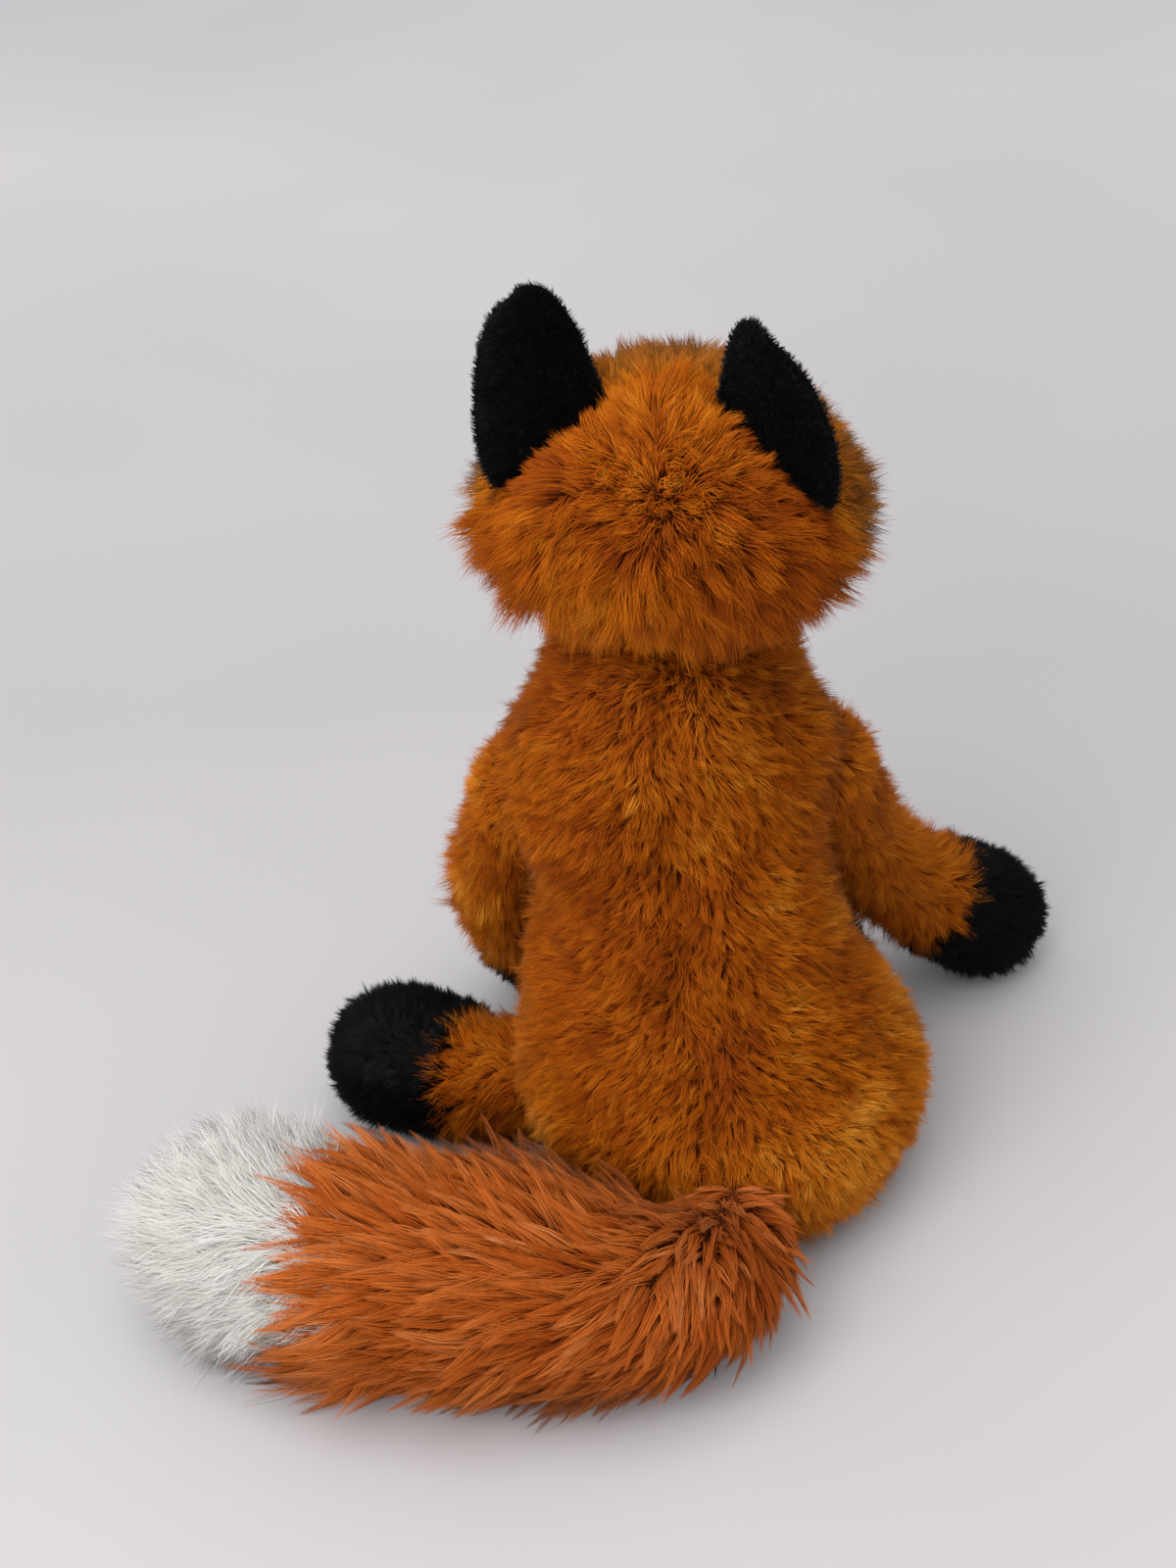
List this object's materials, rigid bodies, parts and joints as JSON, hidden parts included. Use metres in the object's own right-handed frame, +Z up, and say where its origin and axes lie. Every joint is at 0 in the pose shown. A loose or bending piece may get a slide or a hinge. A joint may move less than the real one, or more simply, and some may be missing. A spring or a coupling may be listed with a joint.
{
  "type": "plush fox",
  "caption": "Seated plush fox in long golden-brown pile, with black ears, paws and feet, a pale belly and muzzle, and a bushy rust-coloured tail with a white tip.",
  "frame": {"origin": "middle of the flat seat, on the floor", "axes": "+Z up, the fox faces -Y, +X to the fox's own left, where its tail lies"},
  "size_m": [0.2568, 0.2003, 0.2663],
  "materials": {
    "golden_plush": "long pile, golden brown",
    "rust_plush": "very long pile, rust",
    "black_plush": "short pile, black",
    "white_plush": "long pile, off-white",
    "filling": "loose fibre",
    "bead_bag": "woven bag",
    "button_plastic": "polished",
    "washer_plastic": "moulded"
  },
  "bodies": {
    "torso": {"torso_stuffing": "filling", "bean_bag": "bead_bag", "base_panel": "golden_plush", "belly_panel": "white_plush", "back_panel_left": "golden_plush", "back_panel_right": "golden_plush"},
    "neck": {"neck_stuffing": "filling"},
    "head": {"head_stuffing": "filling", "head_back_left": "golden_plush", "head_back_right": "golden_plush", "face_panel": "golden_plush", "chin_panel": "white_plush", "muzzle_cover": "white_plush", "nose": "button_plastic", "nose_washer": "washer_plastic", "eye_left": "button_plastic", "eye_right": "button_plastic", "eye_washer_left": "washer_plastic", "eye_washer_right": "washer_plastic"},
    "ear_left": {"ear_back_left": "black_plush", "ear_lining_left": "black_plush"},
    "ear_right": {"ear_back_right": "black_plush", "ear_lining_right": "black_plush"},
    "arm_left": {"arm_cover_left": "golden_plush", "paw_left": "black_plush", "arm_stuffing_left": "filling"},
    "arm_right": {"arm_cover_right": "golden_plush", "paw_right": "black_plush", "arm_stuffing_right": "filling"},
    "leg_left": {"leg_cover_left": "golden_plush", "foot_left": "black_plush", "leg_stuffing_left": "filling"},
    "leg_right": {"leg_cover_right": "golden_plush", "foot_right": "black_plush", "leg_stuffing_right": "filling"},
    "tail": {"tail_cover": "rust_plush", "tail_tip": "white_plush", "tail_stuffing": "filling"}
  },
  "joints": [
    {"name": "head_turn", "type": "hinge", "parent": "torso", "child": "neck", "pos_m": [0.0125, -0.007, 0.156], "axis": [0, 0, 1], "range_deg": [-18, 42], "stiffness_Nm_per_rad": 0.3},
    {"name": "head_nod", "type": "hinge", "parent": "neck", "child": "head", "pos_m": [0.0125, -0.007, 0.156], "axis": [0.9776, -0.2079, 0.0341], "range_deg": [-12, 12], "stiffness_Nm_per_rad": 0.5},
    {"name": "shoulder_left", "type": "hinge", "parent": "torso", "child": "arm_left", "pos_m": [0.0495, -0.013, 0.128], "axis": [-1, 0, 0], "range_deg": [0, 80], "stiffness_Nm_per_rad": 0.05},
    {"name": "shoulder_right", "type": "hinge", "parent": "torso", "child": "arm_right", "pos_m": [-0.0245, -0.013, 0.128], "axis": [-1, 0, 0], "range_deg": [0, 80], "stiffness_Nm_per_rad": 0.05},
    {"name": "hip_left", "type": "hinge", "parent": "torso", "child": "leg_left", "pos_m": [0.04021, -0.018, 0.024], "axis": [0, 0, 1], "range_deg": [-25, 0], "stiffness_Nm_per_rad": 0.02},
    {"name": "hip_right", "type": "hinge", "parent": "torso", "child": "leg_right", "pos_m": [-0.03279, -0.018, 0.024], "axis": [0, 0, 1], "range_deg": [-12, 12], "stiffness_Nm_per_rad": 0.02},
    {"name": "tail_swing", "type": "hinge", "parent": "torso", "child": "tail", "pos_m": [0.00429, 0.0418, 0.02697], "axis": [0, 0, 1], "range_deg": [0, 45], "stiffness_Nm_per_rad": 0.05},
    {"name": "ear_fold_left", "type": "hinge", "parent": "head", "child": "ear_left", "pos_m": [0.03841, 0.00069, 0.23183], "axis": [0.8005, 0.1141, -0.5884], "range_deg": [-20, 20], "stiffness_Nm_per_rad": 0.02},
    {"name": "ear_fold_right", "type": "hinge", "parent": "head", "child": "ear_right", "pos_m": [-0.01305, 0.01163, 0.23004], "axis": [-0.6438, 0.4213, -0.6388], "range_deg": [-20, 20], "stiffness_Nm_per_rad": 0.02}
  ]
}
